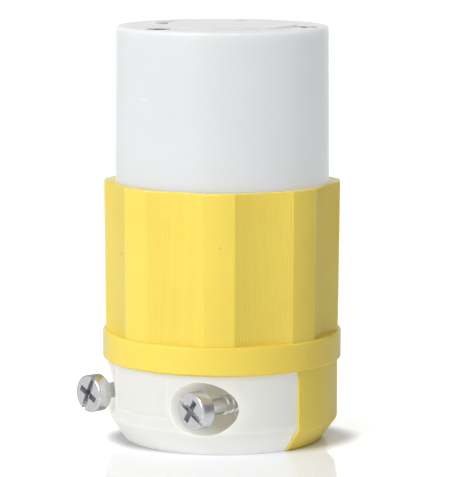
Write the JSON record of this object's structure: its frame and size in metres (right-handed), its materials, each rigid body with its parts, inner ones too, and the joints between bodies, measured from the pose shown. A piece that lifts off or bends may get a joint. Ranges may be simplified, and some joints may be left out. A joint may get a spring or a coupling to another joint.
{
  "type": "locking cord connector",
  "caption": "Female locking power connector for a cord's end, with a round nose, a fluted sleeve, a band and a screwed two-part cord clamp.",
  "frame": {"origin": "centre of the cord entry, on the connector's axis at the flat underside", "axes": "+Z along the axis to the mating face, -Y towards the loose clamp jaw and the clamp screws' heads"},
  "size_m": [0.0448, 0.0448, 0.0776],
  "materials": {
    "yellow_nylon": "smooth moulded nylon, semi-gloss",
    "white_nylon": "smooth moulded nylon, semi-gloss",
    "retainer_nylon": "moulded nylon, matt",
    "zinc_screw": "bright zinc plate",
    "assembly_screw": "dull zinc plate",
    "contact_brass": "rolled brass",
    "spring_steel": "cold rolled",
    "terminal_line": "turned brass",
    "terminal_neutral": "nickel plate",
    "terminal_ground": "green passivated"
  },
  "bodies": {
    "housing": {"rear_shell": "yellow_nylon", "clamp_screw_left": "zinc_screw", "clamp_screw_right": "zinc_screw", "face_body": "white_nylon", "contact_retainer": "retainer_nylon", "contact_line": "contact_brass", "contact_spring_line": "spring_steel", "pressure_plate_line": "zinc_screw", "terminal_screw_line": "terminal_line", "contact_ground": "contact_brass", "contact_spring_ground": "spring_steel", "pressure_plate_ground": "zinc_screw", "terminal_screw_ground": "terminal_ground", "contact_neutral": "contact_brass", "contact_spring_neutral": "spring_steel", "pressure_plate_neutral": "zinc_screw", "terminal_screw_neutral": "terminal_neutral", "assembly_screw_front": "assembly_screw", "assembly_screw_right": "assembly_screw", "assembly_screw_left": "assembly_screw"},
    "jaw": {"clamp_jaw": "white_nylon"}
  },
  "joints": [
    {"name": "jaw_slide", "type": "slide", "parent": "housing", "child": "jaw", "axis": [0, -1, 0], "range_m": [0, 0.0111]}
  ]
}
